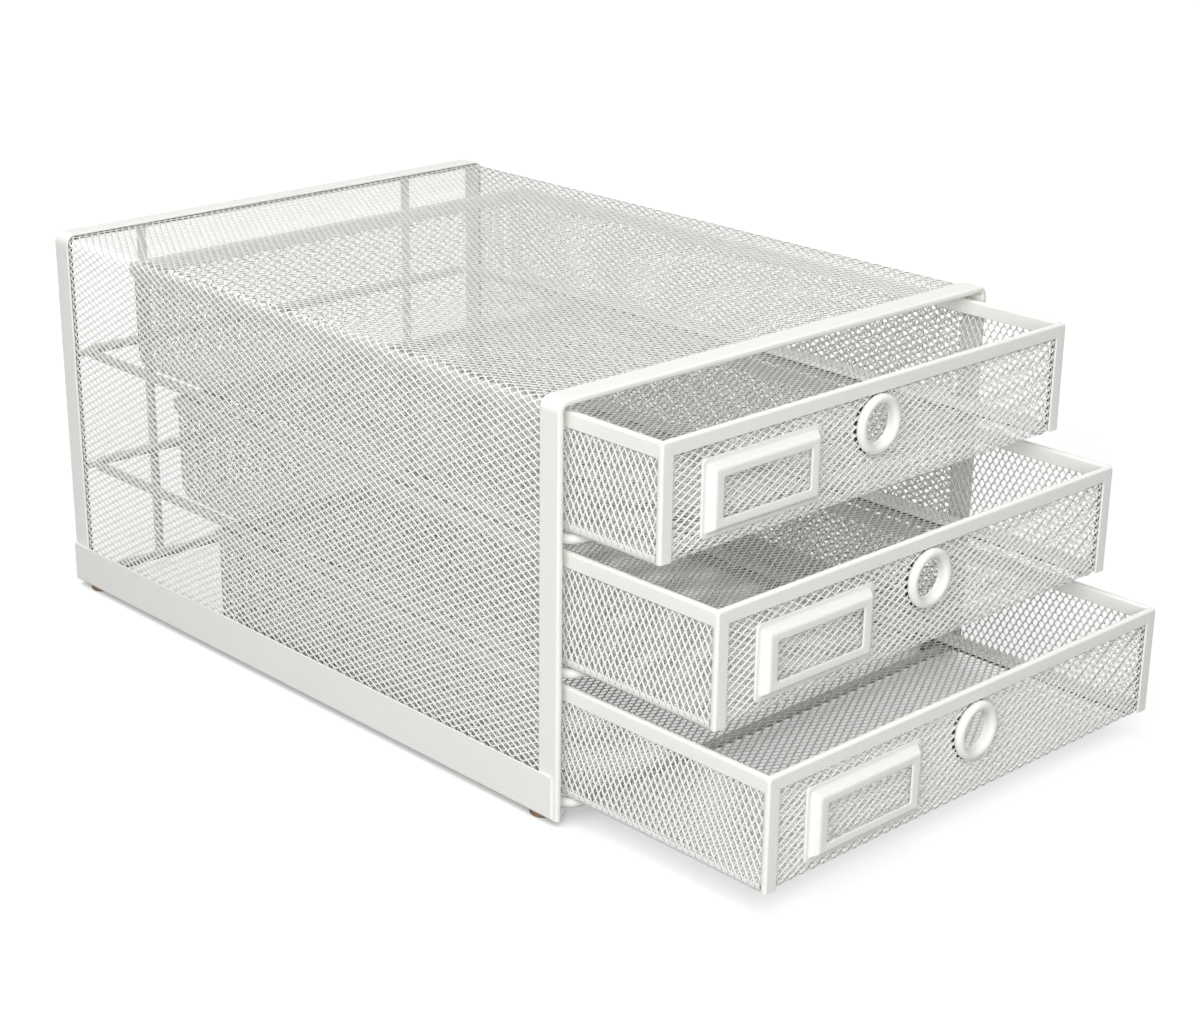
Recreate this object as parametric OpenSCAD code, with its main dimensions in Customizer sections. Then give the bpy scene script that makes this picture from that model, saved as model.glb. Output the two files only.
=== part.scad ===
// Desktop organizer: a casing of expanded steel mesh with three sliding mesh drawers.
// Millimetres. +Z is up and the front faces -Y. The feet stand on z = 0, and the origin lies under
// the middle of the whole object with its drawers pulled out as far as the openings below say.

/* [Casing] */
// Width of the casing over its edge strips
casing_w = 260; // [200:1:340]
// Depth of the casing, front to back
casing_d = 356; // [280:1:420]
// Outer radius of the bend along the two upper edges
bend_r = 5; // [4:0.5:12]
// Width of an edge strip on the sides and the top
rim_lap = 11; // [8:0.5:16]
// Height of the solid band along the foot of each side
band_h = 19.5; // [14:0.5:30]
// Thickness of the band's sheet
band_t = 0.8; // [0.6:0.1:1.2]
// Width of the ledge that each band forms under the casing
ledge_w = 12; // [10:0.5:16]
// Clear height between the upper drawer and the casing's front rim
top_gap = 2.6; // [0.6:0.1:5]

/* [Drawers] */
// Height of a drawer
drawer_h = 51; // [44:0.5:80]
// Clearance between a drawer and the rim on each side
side_play = 3.75; // [1:0.25:6]
// Clear height above a drawer, up to the next runner
headroom = 1.7; // [0.5:0.1:4]
// Height of the folded strip round the left, back and right of a drawer
drawer_rim_h = 6.6; // [6:0.1:10]
// Width of the mitred strip round a drawer's front
front_strip_w = 6.2; // [5.5:0.1:10]
// Radius of the front's two upper corners
front_corner_r = 2; // [1:0.5:4]
// Outer radius of the fold along a drawer's lower edges
fold_r = 2.5; // [2:0.1:4]
// How far the upper drawer is pulled out
upper_opening = 48.6; // [0:0.1:250]
// How far the middle drawer is pulled out
middle_opening = 79.3; // [0:0.1:250]
// How far the lower drawer is pulled out
lower_opening = 107.9; // [0:0.1:250]

/* [Expanded mesh] */
// Long pitch of a cell of the real mesh
cell_long = 6.2; // [5:0.1:8]
// Short pitch of a cell of the real mesh
cell_short = 3.45; // [2.8:0.05:4.5]
// Width of a strand of the real mesh
strand_w = 0.85; // [0.6:0.05:1.1]
// Thickness of the sheet
mesh_t = 1; // [0.8:0.1:1.2]
// Size of a drawn cell in real cells, which keeps the share of open area
coarseness = 4.4; // [4:0.1:6]
// Thickness of the strip folded over one face of the mesh
skin_t = 1; // [0.8:0.1:1.2]

/* [Wire] */
// Diameter of the runner and upright wires
wire_d = 4.5; // [4:0.1:6]
// Radius of a runner's corners, at the middle of the wire
runner_r = 8; // [6:0.5:14]
// Distance from the casing's side to the middle of a runner's side wire
runner_inset = 8.6; // [8:0.1:12]
// Distance of each upright wire from the middle of the casing
upright_x = 83; // [40:1:100]
// Distance from the rear edge to the uprights
upright_inset = 0.5; // [0.3:0.1:3]
// Diameter of the weld stubs between a runner and the rims
stub_d = 3; // [2:0.5:4]

/* [Label holder] */
// Width of the label holder
holder_w = 67; // [50:0.5:90]
// Height of the label holder
holder_h = 32.5; // [28:0.5:36]
// How far it stands proud of the mesh
holder_proud = 4.3; // [3:0.1:6]
// Width of its border above and below the window
holder_rail = 7.8; // [6.5:0.1:9]
// Width of its border left and right of the window
holder_side = 8.7; // [7:0.1:14]
// Width of its flange, which lies on the mesh all round
holder_flange = 2; // [1:0.1:3]
// Width of the slope between the flange and the face
holder_slope = 2.1; // [1.5:0.1:3]
// Thickness of its sheet
holder_t = 0.9; // [0.7:0.1:1.2]
// Radius of its outer corners
holder_r = 2; // [1:0.5:4]
// Distance from the front's left edge
holder_left = 22; // [12:0.5:40]
// Distance from the drawer's upper edge
holder_drop = 11.5; // [10:0.5:14]

/* [Finger hole] */
// Outer diameter of the rolled ring
ring_d = 25.5; // [22:0.5:26]
// Diameter of the clear hole
hole_d = 17; // [14:0.5:18]
// Distance from the drawer's upper edge to the middle of the hole
ring_drop = 19.3; // [19.3:0.1:24]
// How far the ring stands proud of the mesh
ring_proud = 3.2; // [2.6:0.1:5]
// Wall of the ring inside the mesh and behind it
ring_wall = 0.9; // [0.7:0.1:1.2]

/* [Feet] */
// Diameter of a foot pad
foot_d = 11; // [8:0.5:12]
// Thickness of a foot pad
foot_h = 2.5; // [1.5:0.1:5]
// Distance from the casing's front and rear to the middle of a foot
foot_inset = 14; // [10:0.5:40]

/* [Hidden] */
DRAWERS = ["upper", "middle", "lower"];
$fn = 48;

// A drawer rides this far above its runner
lift = 0.3;
// Hairline between pieces of one drawer that meet edge to edge
seam = 0.1;
// Radial clearance of the ring in the mesh
ring_fit = 0.1;
// Clearance between a closed drawer and the uprights
stop_gap = 0.3;
// Reach of a cutter past the face that it cuts
over = 1;

// Thickness of a strip folded over the mesh
strip_t = mesh_t + 2 * skin_t;
// Radius of the rounded edges of a drawer's strips
strip_r = 1.2;
// Thickness of the band's hemmed ledge
ledge_t = 2 * band_t;

// Height from the bottom of the casing to the middle of the lower runner, and from runner to runner
runner_z = ledge_t + wire_d / 2;
pitch_z = wire_d + lift + drawer_h + headroom;
casing_h = runner_z + 2 * pitch_z + wire_d / 2 + lift + drawer_h + top_gap + strip_t;

drawer_w = casing_w - 2 * strip_t - 2 * side_play;
drawer_d = casing_d - upright_inset - wire_d - stop_gap;

// The basket lies inside the strips, by the thickness of their outer face
basket_x = drawer_w / 2 - skin_t;
basket_top = drawer_h - skin_t;

openings = [upper_opening, middle_opening, lower_opening];
reach = max(openings) + holder_proud - skin_t;
front_y = -(casing_d - reach) / 2;
runner_x = casing_w / 2 - runner_inset;
runner_back = casing_d - upright_inset - wire_d - wire_d / 2;

powder_coat = [0.91, 0.92, 0.89];
mesh_coat = [0.87, 0.88, 0.85];
pad_tan = [0.55, 0.47, 0.38];

// ---- Shared shapes ----

// The same thing on both sides
module both_sides() {
  children();
  mirror([1, 0, 0]) children();
}

// Diamonds that fill a rectangle of the given size, with their long diagonal along X.
module cells(area) {
  pitch = [cell_long, cell_short] * coarseness;
  open = 1 - strand_w * norm([cell_long, cell_short]) / (cell_long * cell_short);
  count = [for (a = [0, 1]) floor(2 * area[a] / pitch[a]) - 1];
  half = pitch / 2;
  for (i = [0 : count[0] - 1], j = [0 : count[1] - 1])
    if ((i + j) % 2 == 0)
      translate([(i - (count[0] - 1) / 2) * half[0], (j - (count[1] - 1) / 2) * half[1]])
        polygon([[-half[0], 0], [0, -half[1]], [half[0], 0], [0, half[1]]] * open);
}

// Plan of a strip on the X axis that reaches inwards to +Y by d. ends says which of its two ends
// is mitred, gap moves a mitre back, and trim cuts it square again next to the outer edge.
function strip_plan(l, d, ends, gap, trim) =
  let (a = ends[0] * (trim + gap), b = l - ends[1] * (trim + gap))
  concat(
    [[a, 0], [b, 0]],
    trim > 0 ? [[b, trim]] : [],
    [[l - ends[1] * (d + gap), d], [ends[0] * (d + gap), d]],
    trim > 0 ? [[a, trim]] : []
  );

// Carries a profile along the X axis. The profile's x runs inwards, to +Y, and its y runs up.
module strip(l, d, ends = [1, 1], gap = 0, trim = 0) {
  intersection() {
    rotate([90, 0, 90]) linear_extrude(l) children();
    translate([0, 0, -casing_h / 2]) linear_extrude(casing_h)
      polygon(strip_plan(l, d, ends, gap, trim));
  }
}

// Turns a strip along +X into one along +Y that reaches inwards to +X.
module turned() {
  mirror([1, -1, 0]) children();
}

// Rounded end of a folded strip, as points from one face over the fold to the other face.
function fold_end(h) = concat(
  [for (a = [180 : -30 : 90]) [strip_r, h - strip_r] + strip_r * [cos(a), sin(a)]],
  [for (a = [90 : -30 : 0]) [strip_t - strip_r, h - strip_r] + strip_r * [cos(a), sin(a)]]
);

// Section of a strip folded over the mesh: open at the bottom, folded at the top.
function channel(h) = concat(
  [[0, 0]],
  fold_end(h),
  [[strip_t, 0], [strip_t - skin_t, 0], [strip_t - skin_t, h - skin_t], [skin_t, h - skin_t], [skin_t, 0]]
);

// ---- Casing ----

// Upright outline with two rounded upper corners, standing on the X axis.
module arch(w, h, r) {
  translate([-w / 2, 0]) square([w, h - r]);
  translate([r - w / 2, 0]) square([w - 2 * r, h]);
  for (side = [-1, 1]) translate([side * (w / 2 - r), h - r]) circle(r);
}

// Wall that follows the casing's outline, inset from it, between two heights.
module arch_wall(inset, wall, low) {
  deep = inset + wall;
  difference() {
    arch(casing_w - 2 * inset, casing_h - inset, bend_r - inset);
    translate([0, -over]) arch(casing_w - 2 * deep, casing_h - deep + over, bend_r - deep);
    translate([-casing_w / 2, -over]) square([casing_w, low + over]);
  }
}

// Stands a wall of the casing up, from y = 0 to y = d.
module upright_wall(d) {
  translate([0, d, 0]) rotate([90, 0, 0]) linear_extrude(d) children();
}

// Strip folded over an edge of the casing's mesh, with its closed side at y = 0.
module rim(low) {
  upright_wall(skin_t) arch_wall(0, strip_t, low);
  upright_wall(rim_lap) arch_wall(0, skin_t, low);
  upright_wall(rim_lap) arch_wall(skin_t + mesh_t, skin_t, low);
}

module front_rim() {
  color(powder_coat) difference() {
    rim(0);
    // the strip's lap stands on the ledges
    translate([-casing_w / 2 - over, strip_t, -over])
      cube([casing_w + 2 * over, rim_lap, ledge_t + over]);
  }
}

module rear_rim() {
  color(powder_coat) translate([0, casing_d, 0]) mirror([0, 1, 0]) rim(ledge_t);
}

module casing_side() {
  l = casing_d - 2 * skin_t;
  h = casing_h - bend_r - ledge_t;
  lap = rim_lap - skin_t;
  low = band_h - ledge_t;
  translate([skin_t + mesh_t - casing_w / 2, skin_t, ledge_t]) rotate([90, 0, 90])
    translate([0, 0, -mesh_t]) linear_extrude(mesh_t) difference() {
      square([l, h]);
      translate([l / 2, (low + h) / 2]) cells([l - 2 * lap, h - low]);
    }
  // the sheet bends over to the top
  translate([0, skin_t, 0]) upright_wall(l) intersection() {
    arch_wall(skin_t, mesh_t, 0);
    translate([-casing_w / 2, casing_h - bend_r]) square([bend_r - seam, bend_r]);
  }
}

module casing_mesh() {
  w = casing_w - 2 * bend_r;
  l = casing_d - 2 * skin_t;
  color(mesh_coat) {
    both_sides() casing_side();
    translate([-w / 2, skin_t, casing_h - skin_t - mesh_t]) turned()
      linear_extrude(mesh_t) difference() {
        square([l, w]);
        translate([l / 2, w / 2]) cells([l - 2 * (rim_lap - skin_t), w]);
      }
  }
}

// Band on the left side: a sheet outside the strips, hemmed and folded under as a ledge.
module side_band() {
  l = casing_d - strip_t;
  outer = casing_w / 2 + band_t;
  r = ledge_w / 2;
  color(powder_coat) translate([-outer, strip_t, 0]) {
    cube([band_t, l, band_h]);
    linear_extrude(ledge_t) {
      square([ledge_w - r, l]);
      translate([0, r]) square([ledge_w, l - 2 * r]);
      for (y = [r, l - r]) translate([ledge_w - r, y]) circle(r);
    }
  }
}

// ---- Wires ----

// Closed loop of wire in the XY plane, with its outermost side wires at +-runner_x.
module wire_loop() {
  front = wire_d / 2;
  back = runner_back;
  r = runner_r;
  both_sides() translate([-runner_x, front + r, 0]) rotate([-90, 0, 0])
    cylinder(d = wire_d, h = back - front - 2 * r);
  for (y = [front, back]) translate([r - runner_x, y, 0]) rotate([0, 90, 0])
    cylinder(d = wire_d, h = 2 * (runner_x - r));
  both_sides() {
    translate([runner_x - r, back - r, 0]) rotate_extrude(angle = 90)
      translate([r, 0]) circle(d = wire_d);
    translate([runner_x - r, front + r, 0]) rotate([0, 0, -90]) rotate_extrude(angle = 90)
      translate([r, 0]) circle(d = wire_d);
  }
}

// Runner of a drawer: a loop with a weld stub to each leg of the two rims.
module runner(level) {
  root = runner_x - wire_d / 2;
  color(powder_coat) translate([0, 0, runner_z + level * pitch_z]) {
    wire_loop();
    both_sides() for (y = [rim_lap - stub_d / 2, casing_d - rim_lap + stub_d / 2])
      translate([root, y, 0]) rotate([0, 90, 0])
        cylinder(d = stub_d, h = casing_w / 2 - strip_t - root);
  }
}

module rear_wire() {
  low = runner_z - wire_d / 2;
  color(powder_coat) translate([-upright_x, casing_d - upright_inset - wire_d / 2, low])
    cylinder(d = wire_d, h = casing_h - strip_t - low);
}

// ---- Feet ----

module foot(side, end) {
  x = casing_w / 2 + band_t - ledge_w / 2;
  y = end < 0 ? foot_inset : casing_d - foot_inset;
  bevel = foot_h / 4;
  color(pad_tan) translate([side * x, y, -foot_h]) {
    cylinder(d1 = foot_d - 2 * bevel, d2 = foot_d, h = bevel);
    translate([0, 0, bevel]) cylinder(d = foot_d, h = foot_h - bevel);
  }
}

// ---- Drawer ----
// Origin at the front face, in the middle, at the underside. The back is at y = drawer_d.

// Section of the fold between a wall and the floor, with its outer corner at the origin.
module fold_section() {
  turn = [for (a = [180 : 30 : 270]) [cos(a), sin(a)]];
  middle = [fold_r, fold_r];
  polygon(concat(
    [for (p = turn) middle + fold_r * p],
    [for (i = [len(turn) - 1 : -1 : 0]) middle + (fold_r - mesh_t) * turn[i]]
  ));
}

// Upright mesh wall on the X axis from x = a to x = b; diamonds stand upright if tall is set.
module basket_wall(a, b, tall) {
  h = basket_top - fold_r;
  open_h = drawer_h - drawer_rim_h - fold_r;
  translate([a, mesh_t, fold_r]) rotate([90, 0, 0]) linear_extrude(mesh_t) difference() {
    square([b - a, h]);
    difference() {
      translate([(b - a) / 2, open_h / 2])
        rotate(tall ? 90 : 0) cells(tall ? [open_h, b - a] : [b - a, open_h]);
      children();
    }
  }
}

module basket_side() {
  l = drawer_d - 2 * skin_t;
  translate([-basket_x, skin_t, 0]) turned() {
    basket_wall(strip_t - skin_t, l, true);
    strip(l, fold_r) fold_section();
  }
}

// Front or back of the basket, between the sides.
module basket_end() {
  w = 2 * basket_x;
  edge = mesh_t + seam;
  basket_wall(edge, w - edge, false) children();
  strip(w, fold_r, gap = seam, trim = mesh_t) fold_section();
}

module basket_floor() {
  w = 2 * (basket_x - fold_r - seam);
  l = drawer_d - 2 * (skin_t + fold_r + seam);
  translate([0, drawer_d / 2, 0]) linear_extrude(mesh_t) difference() {
    square([w, l], center = true);
    cells([w, l]);
  }
}

module basket() {
  hole_r = (hole_d / 2 + ring_wall + ring_fit) / cos(15);
  ring_at = [basket_x - mesh_t - seam, drawer_h - ring_drop - fold_r];
  color(mesh_coat) {
    basket_floor();
    both_sides() basket_side();
    translate([-basket_x, drawer_d - skin_t, 0]) mirror([0, 1, 0]) basket_end();
    difference() {
      // the mesh is left whole under the ring
      translate([-basket_x, skin_t, 0]) basket_end()
        translate(ring_at) circle(d = ring_d - 1, $fn = 12);
      translate([0, 0, drawer_h - ring_drop]) rotate([-90, 0, 0])
        cylinder(r = hole_r, h = strip_t, $fn = 12);
    }
  }
}

module drawer_rim() {
  l = drawer_d - strip_t;
  color(powder_coat) translate([0, 0, drawer_h - drawer_rim_h]) {
    both_sides() translate([-drawer_w / 2, strip_t, 0]) turned()
      strip(l, strip_t, ends = [0, 1], gap = seam / 2) polygon(channel(drawer_rim_h));
    translate([-drawer_w / 2, drawer_d, 0]) mirror([0, 1, 0])
      strip(drawer_w, strip_t, gap = seam / 2) polygon(channel(drawer_rim_h));
  }
}

// Strips round the front, laid out in the XZ plane with the closed side outwards.
module front_frame() {
  w = front_strip_w;
  leg = drawer_h - fold_r;
  section = [for (p = channel(w)) [w - p[1], p[0]]];
  color(powder_coat) translate([-drawer_w / 2, 0, drawer_h]) rotate([-90, 0, 0]) intersection() {
    union() {
      strip(drawer_w, w, gap = seam / 2) polygon(section);
      turned() strip(leg, w, ends = [1, 0], gap = seam / 2) polygon(section);
      translate([drawer_w, 0, 0]) mirror([1, 0, 0])
        turned() strip(leg, w, ends = [1, 0], gap = seam / 2) polygon(section);
    }
    linear_extrude(strip_t) rounded_square(drawer_w, drawer_h, front_corner_r);
  }
}

// Section of the pressed label holder: a flange, a slope, then a flat face up to the window.
module holder_section() {
  p = holder_proud;
  f = holder_flange;
  s = holder_slope;
  b = holder_rail;
  t = holder_t;
  polygon([
    [0, 0], [0, t * 0.6], [t * 0.4, t], [f, t], [f + s * 0.75, p * 0.82], [f + s, p * 0.96],
    [f + s * 1.3, p], [b, p], [b, p - t], [f + s * 1.35, p - t], [f + s, p * 0.96 - t * 1.2],
    [f + t * 1.1, 0]
  ]);
}

module rounded_square(w, h, r) {
  translate([r, 0]) square([w - 2 * r, h]);
  translate([0, r]) square([w, h - 2 * r]);
  for (x = [r, w - r], y = [r, h - r]) translate([x, y]) circle(r);
}

module label_holder() {
  w = holder_w;
  h = holder_h;
  flat = holder_flange + holder_slope * 1.3;
  color(powder_coat)
    translate([holder_left - drawer_w / 2, skin_t, drawer_h - holder_drop - h]) rotate([90, 0, 0])
      intersection() {
        union() {
          strip(w, holder_rail) holder_section();
          translate([0, h, 0]) mirror([0, 1, 0]) strip(w, holder_rail) holder_section();
          turned() strip(h, holder_rail) holder_section();
          translate([w, 0, 0]) mirror([1, 0, 0]) turned() strip(h, holder_rail) holder_section();
          for (x = [flat, w - holder_side]) translate([x, flat, holder_proud - holder_t])
            cube([holder_side - flat, h - 2 * flat, holder_t]);
        }
        linear_extrude(holder_proud) rounded_square(w, h, holder_r);
      }
}

// Rolled ring: a round bead in front of the mesh, a sleeve through it and a collar behind it.
module finger_ring() {
  bead = (ring_d - hole_d) / 2;
  sleeve_r = hole_d / 2;
  collar = bead * 0.75;
  color(powder_coat) translate([0, skin_t, drawer_h - ring_drop]) rotate([90, 0, 0]) {
    rotate_extrude() {
      intersection() {
        translate([sleeve_r + bead / 2, ring_proud - bead / 2]) circle(d = bead);
        square([ring_d, ring_proud]);
      }
      translate([sleeve_r, 0]) square([bead, ring_proud - bead / 2]);
      translate([sleeve_r, -mesh_t - ring_wall]) square([ring_wall, mesh_t + ring_wall + over]);
      translate([sleeve_r, -mesh_t - ring_wall]) square([collar, ring_wall]);
    }
  }
}

// ---- Places ----

// Stands the casing's own frame on the feet: front face at front_y, bottom edge at foot_h.
module casing_place() {
  translate([0, front_y, foot_h]) children();
}

// Puts a drawer on its runner and pulls it out. 0 is the upper drawer and 2 the lower one.
module drawer_place(i) {
  level = len(DRAWERS) - 1 - i;
  z = runner_z + level * pitch_z + wire_d / 2 + lift;
  translate([0, front_y - openings[i], foot_h + z]) children();
}

casing_place() casing_mesh();
casing_place() front_rim();
casing_place() rear_rim();
casing_place() side_band();  // side_band_left
casing_place() mirror([1, 0, 0]) side_band();  // side_band_right
casing_place() runner(2);  // runner_upper
casing_place() runner(1);  // runner_middle
casing_place() runner(0);  // runner_lower
casing_place() rear_wire();  // rear_wire_left
casing_place() mirror([1, 0, 0]) rear_wire();  // rear_wire_right
casing_place() foot(-1, -1);  // foot_front_left
casing_place() foot(1, -1);  // foot_front_right
casing_place() foot(-1, 1);  // foot_rear_left
casing_place() foot(1, 1);  // foot_rear_right
drawer_place(0) basket();  // upper_basket
drawer_place(0) drawer_rim();  // upper_rim
drawer_place(0) front_frame();  // upper_front_frame
drawer_place(0) label_holder();  // upper_label_holder
drawer_place(0) finger_ring();  // upper_finger_ring
drawer_place(1) basket();  // middle_basket
drawer_place(1) drawer_rim();  // middle_rim
drawer_place(1) front_frame();  // middle_front_frame
drawer_place(1) label_holder();  // middle_label_holder
drawer_place(1) finger_ring();  // middle_finger_ring
drawer_place(2) basket();  // lower_basket
drawer_place(2) drawer_rim();  // lower_rim
drawer_place(2) front_frame();  // lower_front_frame
drawer_place(2) label_holder();  // lower_label_holder
drawer_place(2) finger_ring();  // lower_finger_ring
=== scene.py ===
"""The looks of a desktop organizer: a mesh casing with three mesh drawers, around its CAD frame.

Lengths are in millimetres and become metres where a mesh is made. +Z is up, the front faces -Y.
"""

import math

import bmesh
import bpy
import numpy as np
from mathutils import Matrix, Vector

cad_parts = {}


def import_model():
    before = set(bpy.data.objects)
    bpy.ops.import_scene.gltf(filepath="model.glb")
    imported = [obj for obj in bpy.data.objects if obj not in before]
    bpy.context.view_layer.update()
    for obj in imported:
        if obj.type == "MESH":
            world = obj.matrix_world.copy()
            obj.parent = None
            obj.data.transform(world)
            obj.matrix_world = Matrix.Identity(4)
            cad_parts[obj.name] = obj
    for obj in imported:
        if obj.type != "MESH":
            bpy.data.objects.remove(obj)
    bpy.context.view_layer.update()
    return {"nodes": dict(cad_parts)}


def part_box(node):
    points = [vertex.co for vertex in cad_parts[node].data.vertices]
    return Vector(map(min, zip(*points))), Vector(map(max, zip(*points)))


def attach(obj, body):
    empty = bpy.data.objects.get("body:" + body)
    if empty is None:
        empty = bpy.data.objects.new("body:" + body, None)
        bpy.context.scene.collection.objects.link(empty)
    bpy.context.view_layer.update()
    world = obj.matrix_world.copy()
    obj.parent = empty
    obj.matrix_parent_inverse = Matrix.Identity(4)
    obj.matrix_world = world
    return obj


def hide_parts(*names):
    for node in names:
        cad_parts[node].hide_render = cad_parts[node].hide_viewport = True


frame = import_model()

MM = 0.001
DRAWERS = ("upper", "middle", "lower")

# ---- Sizes ----

# Casing
BEND_R = 5.0            # outer radius of the two bends along the top
RIM_LAP = 11.0          # how far the folded edge strips lap over the mesh
SHEET = 1.0             # sheet of the folded strips
MESH_T = 1.0            # room that the mesh takes inside a strip
STRIP = MESH_T + 2 * SHEET
EDGE_R = 1.2            # rounding of a strip's folded edges
TIP_R = 0.3             # rounding of its cut edges
INNER_R = 0.2           # and of its folds on the inside
BAND_T = 0.8            # sheet of the side bands
BAND_H = 19.5
BAND_FOLD_R = 1.1       # fold between a band and its ledge
LEDGE_W = 12.0
LEDGE_T = 2 * BAND_T
LEDGE_R = 0.6           # rounding of the ledge's free edge
HEM_R = 0.35            # rounding of a band's cut edges

# Drawers
DRAWER_RIM_H = 6.6
FRONT_STRIP_W = 6.2
FRONT_CORNER_R = 2.0    # upper corners of a drawer's front
SIDE_FOLD_R = 3.0       # bend of a basket's sheet from its floor to its sides
END_FOLD_R = 4.4        # bend to its front and back
MITRE_GAP = 0.04        # half the hairline of a mitred corner
BASKET_GAP = 0.3        # room between the basket's mesh and the closed edge of a strip

# Expanded mesh
CELL_LONG = 6.2
CELL_SHORT = 3.45
STRAND_W = 0.85
STRAND_T = 0.45
STRAND_TURN = 0.26      # how far a strand's turned edges stand off the middle of the sheet
FLOOR_TURN = -0.03      # the same on the drawers' floors, where the strands lie nearly flat,
FLOOR_RISE = 0.09       # how far both edges stand up there,
FLOOR_T = 0.26          # and how thick the strands are
TIP_CUT = 0.24          # blunting of a hole's sharp corners, as a share of its sides
SIDE_CUT = 0.16         # blunting of its wide corners
TOP_REACH = 12.0        # how far the casing's side pieces reach over its top
HOLE_GAP = 0.5          # room between the cut mesh and a finger ring's hole

# Creases: closed seams along a basket's side folds, and dark sheets of painted shade in the
# creases behind the mesh
SEAM_H = 4.4            # height of a seam over the floor
SEAM_T = 0.12
SEAM_GAP = 0.1          # between a seam and the bare steel below it
CREASE_SHADE_W = 2.2            # width of the painted crease shade in a side fold
CREASE_SHADE_LOW, CREASE_SHADE_HIGH = -0.40, -0.28      # where it lies under the middle of the mesh
CREASE_SHADE_SPAN = (-0.1, 0.05)                # and where at strips, over the far side of the mesh
CREASE_SHADE_UNDER = 0.2        # how far it reaches under a strip,
CREASE_SHADE_EDGE = 1.0         # how far it shows past the strip's edge,
CREASE_SHADE_RING = 0.35        # how far it shows past a finger ring,
RING_UNDER = 1.2        # and how far it reaches under the ring

# Label holder
HOLDER_W, HOLDER_H = 67.0, 32.5
HOLDER_PROUD = 4.3
HOLDER_RAIL = 7.8       # border above and below the window
HOLDER_SIDE = 8.7       # border left and right of it
HOLDER_FLANGE = 2.0     # flat edge that lies on the mesh
HOLDER_SLOPE = 2.1      # slope from the flange to the face
HOLDER_T = 0.9
HOLDER_R = 2.0
HOLDER_LEFT, HOLDER_DROP = 22.0, 11.5

# Finger ring
RING_D, HOLE_D = 25.5, 17.0
RING_DROP, RING_PROUD = 19.3, 3.2
RING_WALL = 0.9

# Fineness of the rounded forms
BEND_STEPS = 12         # round each bend of the casing
CORNER_POINTS = 6       # on each side of a mitre
ROUND_STEPS = 64        # round a finger ring

# Angle in degrees above which an edge stays crisp: folded strips, pressed forms, thin lines
FOLDED, PRESSED, THIN = 38, 50, 60


# ---- Meshes ----

def box_mm(node):
    low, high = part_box(node)
    return np.array(low) / MM, np.array(high) / MM


def mesh_object(name, points, faces, body, material, replaced=(), smooth_angle=None):
    """A new piece from points in millimetres and arrays of faces with equal numbers of corners."""
    mesh = bpy.data.meshes.new(name)
    mesh.vertices.add(len(points))
    mesh.vertices.foreach_set("co", (np.asarray(points) * MM).astype(np.float32).ravel())
    faces = [np.asarray(f, np.int32) for f in faces if len(f)]
    corners = np.concatenate([f.ravel() for f in faces])
    counts = np.concatenate([np.full(len(f), f.shape[1]) for f in faces])
    mesh.loops.add(len(corners))
    mesh.loops.foreach_set("vertex_index", corners)
    mesh.polygons.add(len(counts))
    mesh.polygons.foreach_set("loop_start", (np.cumsum(counts) - counts).astype(np.int32))
    mesh.polygons.foreach_set("use_smooth", np.ones(len(counts), bool))
    mesh.update(calc_edges=True)
    if smooth_angle is not None:
        # rings that meet in a point leave faces of no width
        made = bmesh.new()
        made.from_mesh(mesh)
        bmesh.ops.remove_doubles(made, verts=made.verts, dist=1e-7)
        made.to_mesh(mesh)
        made.free()
    mesh.validate()
    piece = bpy.data.objects.new(name, mesh)
    bpy.context.scene.collection.objects.link(piece)
    mesh.materials.append(material)
    if smooth_angle is not None:
        crisp(piece, smooth_angle)
    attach(piece, body)
    if replaced:
        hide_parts(*replaced)
    return piece


def crisp(piece, angle):
    """Keeps flat sheet flat next to its rounded edges."""
    mesh = piece.data
    mesh.set_sharp_from_angle(angle=math.radians(angle))
    weigh = piece.modifiers.new("weighted", "WEIGHTED_NORMAL")
    weigh.keep_sharp = True
    weigh.weight = 100
    bpy.context.view_layer.objects.active = piece
    bpy.ops.object.modifier_apply(modifier=weigh.name)


class Shape:
    """Collects closed skins, to make one piece of them."""

    def __init__(self):
        self.points, self.faces, self.count = [], {}, 0

    def add(self, points, *faces):
        for f in faces:
            f = np.asarray(f, np.int64)
            if len(f):
                self.faces.setdefault(f.shape[1], []).append(f + self.count)
        self.points.append(np.asarray(points, float))
        self.count += len(points)

    def skin(self, rings, loop=False):
        """Joins rings of points, each the outline of one cross-section, into a closed skin."""
        rings = np.asarray(rings, float)
        n_ring, n = rings.shape[:2]
        steps = n_ring if loop else n_ring - 1
        k = np.arange(steps)[:, None]
        a = np.arange(n)[None, :]
        b = (a + 1) % n
        after = (k + 1) % n_ring
        quads = np.stack([k * n + a, k * n + b, after * n + b, after * n + a], -1)
        quads = quads.reshape(-1, 4)
        caps = [] if loop else [np.arange(n)[::-1], (n_ring - 1) * n + np.arange(n)]
        flat = rings.reshape(-1, 3)
        # turned outwards, whichever way the rings ran
        parts = [np.stack([quads[:, 0], quads[:, i], quads[:, i + 1]], 1) for i in (1, 2)]
        parts += [np.array([[c[0], c[i], c[i + 1]] for i in range(1, n - 1)]) for c in caps]
        t = flat[np.concatenate(parts)]
        inside_out = np.einsum("ij,ij->i", t[:, 0], np.cross(t[:, 1], t[:, 2])).sum() < 0
        if inside_out:
            quads = quads[:, ::-1]
            caps = [c[::-1] for c in caps]
        self.add(flat, quads, *[np.array([c]) for c in caps])

    def piece(self, name, body, slot, material, replaced=(), smooth_angle=FOLDED):
        points = np.concatenate(self.points)
        faces = [np.concatenate(f) for f in self.faces.values()]
        return mesh_object(name, points, faces, body, material, replaced, smooth_angle)


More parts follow.
